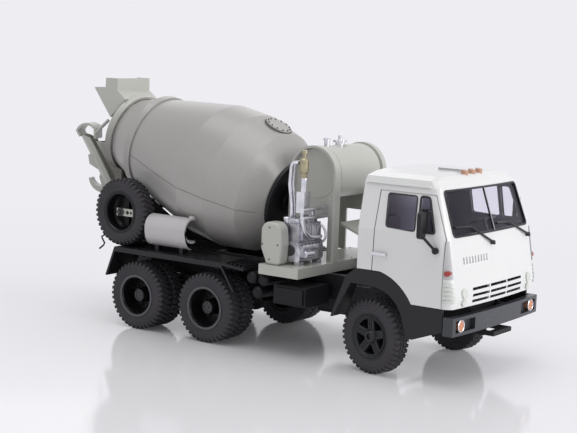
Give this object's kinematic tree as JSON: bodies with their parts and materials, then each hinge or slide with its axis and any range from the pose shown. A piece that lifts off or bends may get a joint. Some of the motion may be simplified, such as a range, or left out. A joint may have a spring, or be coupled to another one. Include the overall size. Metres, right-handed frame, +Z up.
{
  "type": "concrete mixer truck, display model at 1:43",
  "caption": "Three-axle concrete mixer truck model with white cab, grey drum, engine-driven mixer gear, hopper and chute.",
  "frame": {"origin": "centre of the model's box, on the floor under the wheels", "axes": "+X forward, +Y to the truck's left, +Z up"},
  "size_m": [0.1774, 0.0656, 0.086],
  "materials": {
    "cab_paint": "gloss",
    "drum_grey": "semi-gloss",
    "light_grey": "semi-gloss",
    "frame_black": "semi-gloss",
    "fender_black": "semi-gloss",
    "rim_black": "semi-gloss",
    "bumper_grey": "semi-gloss",
    "tyre": "matte",
    "glass": "clear",
    "clear_lens": "gloss",
    "orange_lens": "gloss",
    "red_lens": "gloss",
    "black_rubber": "matte",
    "inside_grey": "matte",
    "engine_silver": "bright",
    "bright_metal": "bright",
    "brass_tone": "satin"
  },
  "bodies": {
    "truck": {"air_tanks": "frame_black", "bumper": "bumper_grey", "bumper_lamps": "orange_lens", "cab_interior": "inside_grey", "cab_shell": "cab_paint", "charging_hopper": "light_grey", "chassis_frame": "frame_black", "corner_deflectors": "light_grey", "corner_lamps": "clear_lens", "door_handles": "bright_metal", "drive_engine": "engine_silver", "driveline": "frame_black", "drum_front_stand": "frame_black", "drum_rear_stand": "frame_black", "drum_rollers": "frame_black", "engine_cover": "light_grey", "engine_filter": "brass_tone", "engine_pipes": "engine_silver", "engine_platform": "light_grey", "front_axle_beam": "frame_black", "front_fenders": "fender_black", "front_lamps": "clear_lens", "front_springs": "frame_black", "middle_axle_housing": "frame_black", "mirrors": "fender_black", "mouth_collar": "light_grey", "rear_axle_housing": "frame_black", "rear_fenders": "fender_black", "rear_suspension": "frame_black", "rolled_trough": "light_grey", "roof_lamps": "orange_lens", "roof_strip": "light_grey", "side_boxes": "frame_black", "side_lamps": "red_lens", "side_windows": "glass", "spare_carrier": "frame_black", "spare_clamp": "light_grey", "spare_rim": "rim_black", "spare_tyre": "tyre", "steering_wheel": "inside_grey", "tank_arches": "light_grey", "tank_caps": "engine_silver", "water_tank": "light_grey", "windscreen": "glass", "windscreen_trim": "black_rubber"},
    "knuckle_right": {"knuckle_right": "frame_black"},
    "knuckle_left": {"knuckle_left": "frame_black"},
    "tie_rod": {"tie_rod": "frame_black"},
    "front_wheel_right": {"front_right_tyre": "tyre", "front_right_rim": "rim_black"},
    "front_wheel_left": {"front_left_tyre": "tyre", "front_left_rim": "rim_black"},
    "wheelset_middle": {"middle_tyres": "tyre", "middle_rims": "rim_black"},
    "wheelset_rear": {"rear_tyres": "tyre", "rear_rims": "rim_black"},
    "drum": {"drum_shell": "drum_grey", "drum_band": "drum_grey", "drum_front_ring": "frame_black"},
    "chute": {"discharge_chute": "light_grey"}
  },
  "joints": [
    {"name": "steer_right", "type": "hinge", "parent": "truck", "child": "knuckle_right", "pos_m": [0.05811, -0.0175, 0.0118], "axis": [0, 0, 1], "range_deg": [-12, 32]},
    {"name": "steer_left", "type": "hinge", "parent": "truck", "child": "knuckle_left", "pos_m": [0.05811, 0.0175, 0.0118], "axis": [0, 0, 1], "range_deg": [-12, 32]},
    {"name": "tie_rod_pivot", "type": "hinge", "parent": "knuckle_right", "child": "tie_rod", "pos_m": [0.05171, -0.01635, 0.0118], "axis": [0, 0, 1], "range_deg": [-32, 12]},
    {"name": "roll_front_right", "type": "hinge", "parent": "knuckle_right", "child": "front_wheel_right", "pos_m": [0.05696, -0.0239, 0.0118], "axis": [0.1771, 0.9842, 0], "continuous": true},
    {"name": "roll_front_left", "type": "hinge", "parent": "knuckle_left", "child": "front_wheel_left", "pos_m": [0.05926, 0.0239, 0.0118], "axis": [0.1771, 0.9842, 0], "continuous": true},
    {"name": "roll_middle", "type": "hinge", "parent": "truck", "child": "wheelset_middle", "pos_m": [-0.00794, 0, 0.0118], "axis": [0, 1, 0], "continuous": true},
    {"name": "roll_rear", "type": "hinge", "parent": "truck", "child": "wheelset_rear", "pos_m": [-0.03864, 0, 0.0118], "axis": [0, 1, 0], "continuous": true},
    {"name": "drum_turn", "type": "hinge", "parent": "truck", "child": "drum", "pos_m": [0.00311, 0, 0.04844], "axis": [-0.9705, 0, 0.2409], "continuous": true},
    {"name": "chute_swing", "type": "hinge", "parent": "truck", "child": "chute", "pos_m": [-0.06989, 0, 0.04], "axis": [0, 0, 1], "range_deg": [-70, 20]}
  ],
  "couplings": [
    {"joint": "steer_left", "follows": "steer_right", "ratio": 1},
    {"joint": "tie_rod_pivot", "follows": "steer_right", "ratio": -1}
  ]
}
